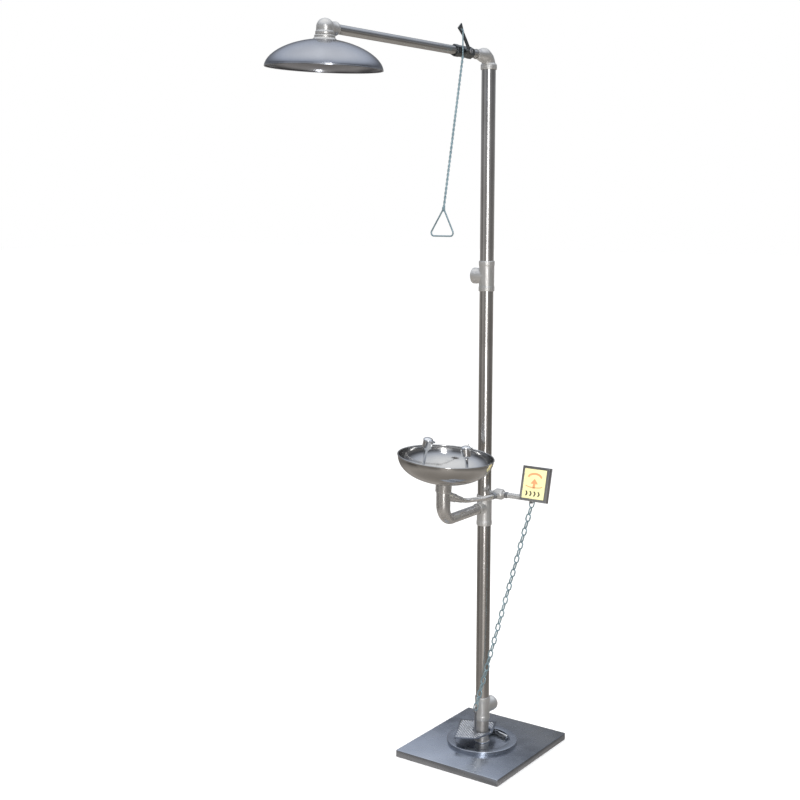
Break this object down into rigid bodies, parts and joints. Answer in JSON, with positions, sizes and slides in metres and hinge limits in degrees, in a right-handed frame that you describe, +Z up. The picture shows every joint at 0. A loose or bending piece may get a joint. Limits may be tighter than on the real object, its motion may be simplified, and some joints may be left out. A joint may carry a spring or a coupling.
{
  "type": "emergency safety shower",
  "caption": "Freestanding emergency shower: floor plate, column, overhead arm with domed head and pull handle, and an eyewash bowl worked by a push plate or a foot pedal.",
  "frame": {"origin": "on the floor, under the centre of the floor plate and on the column's axis", "axes": "+Z up the column; the user stands at -Y facing +Y under the arm; +X is the user's right, where the push plate is"},
  "size_m": [0.4095, 1.142, 2.2438],
  "materials": {
    "polished_steel": "polished stainless steel tube and sheet",
    "cast_steel": "cast stainless steel, bead blasted",
    "satin_steel": "satin stainless steel, slightly dull",
    "chrome": "chromed brass",
    "galvanised_steel": "zinc-plated steel",
    "seal": "white plastic",
    "label": "pale yellow plastic panel"
  },
  "bodies": {
    "stand": {"base_plate": "polished_steel", "floor_flange": "polished_steel", "riser_lower": "polished_steel", "drain_tee": "cast_steel", "riser_middle": "polished_steel", "bowl_tee": "cast_steel", "blanking_plug": "seal", "riser_upper": "polished_steel", "inlet_tee": "cast_steel", "riser_top": "polished_steel", "top_elbow": "cast_steel", "arm_nipple": "polished_steel", "shower_valve_body": "satin_steel", "shower_seat_inlet": "seal", "shower_seat_outlet": "seal", "shower_gland_nut": "satin_steel", "shower_arm": "polished_steel", "head_elbow": "cast_steel", "shower_head": "polished_steel", "spray_plate": "satin_steel", "nozzle_manifold": "chrome", "nozzle_left": "chrome", "aerator_left": "seal", "cap_pin_left": "chrome", "nozzle_right": "chrome", "aerator_right": "seal", "cap_pin_right": "chrome", "eyewash_bowl": "polished_steel", "bowl_strainer": "satin_steel", "bowl_locknut": "cast_steel", "drain_leg": "cast_steel", "supply_riser": "satin_steel", "side_boss": "cast_steel", "tube_nut_bowl": "cast_steel", "supply_tube": "polished_steel", "valve_nipple": "polished_steel", "eyewash_valve_body": "cast_steel", "tube_nut_valve": "satin_steel", "eyewash_gland_nut": "satin_steel", "hinge_bracket": "satin_steel", "hinge_rod": "polished_steel"},
    "shower_lever_body": {"shower_valve_ball": "chrome", "shower_valve_stem": "satin_steel", "shower_lever": "satin_steel", "lever_nut": "satin_steel"},
    "pull_rod_body": {"pull_rod": "galvanised_steel"},
    "push_handle": {"eyewash_valve_ball": "chrome", "eyewash_valve_stem": "satin_steel", "handle_bar": "satin_steel", "plate_nut": "satin_steel", "push_plate": "satin_steel", "label_panel": "label"},
    "chain": {"pull_chain": "galvanised_steel"},
    "pedal": {"pedal_frame": "satin_steel", "tread_plate": "satin_steel", "chain_bar": "satin_steel"},
    "cap_left": {"dust_cap_left": "chrome"},
    "cap_right": {"dust_cap_right": "chrome"}
  },
  "joints": [
    {"name": "shower_lever_turn", "type": "hinge", "parent": "stand", "child": "shower_lever_body", "pos_m": [0, -0.146, 2.171], "axis": [1, 0, 0], "range_deg": [0, 60], "stiffness_Nm_per_rad": 0.02},
    {"name": "pull_rod_hang", "type": "hinge", "parent": "shower_lever_body", "child": "pull_rod_body", "pos_m": [0.0275, -0.19228, 2.22615], "axis": [1, 0, 0], "range_deg": [-60, 0]},
    {"name": "push_handle_turn", "type": "hinge", "parent": "stand", "child": "push_handle", "pos_m": [0.054, 0, 0.846], "axis": [-1, 0, 0], "range_deg": [0, 42], "stiffness_Nm_per_rad": 0.02},
    {"name": "chain_travel", "type": "slide", "parent": "stand", "child": "chain", "axis": [-0.0958, -0.6768, -0.7299], "range_m": [0, 0.01927]},
    {"name": "pedal_tilt", "type": "hinge", "parent": "stand", "child": "pedal", "pos_m": [0.01902, 0.06633, 0.035], "axis": [0.9613, -0.2756, 0], "range_deg": [0, 6.98]},
    {"name": "dust_cap_left_flip", "type": "hinge", "parent": "stand", "child": "cap_left", "pos_m": [-0.03597, -0.233, 1.03329], "axis": [0, 1, 0], "range_deg": [0, 110]},
    {"name": "dust_cap_right_flip", "type": "hinge", "parent": "stand", "child": "cap_right", "pos_m": [0.09751, -0.233, 1.02906], "axis": [0, 1, 0], "range_deg": [0, 110]}
  ],
  "couplings": [
    {"joint": "pull_rod_hang", "follows": "shower_lever_turn", "ratio": -1},
    {"joint": "chain_travel", "follows": "push_handle_turn", "m_per_rad": 0.026278},
    {"joint": "pedal_tilt", "follows": "push_handle_turn", "ratio": 0.1661}
  ]
}
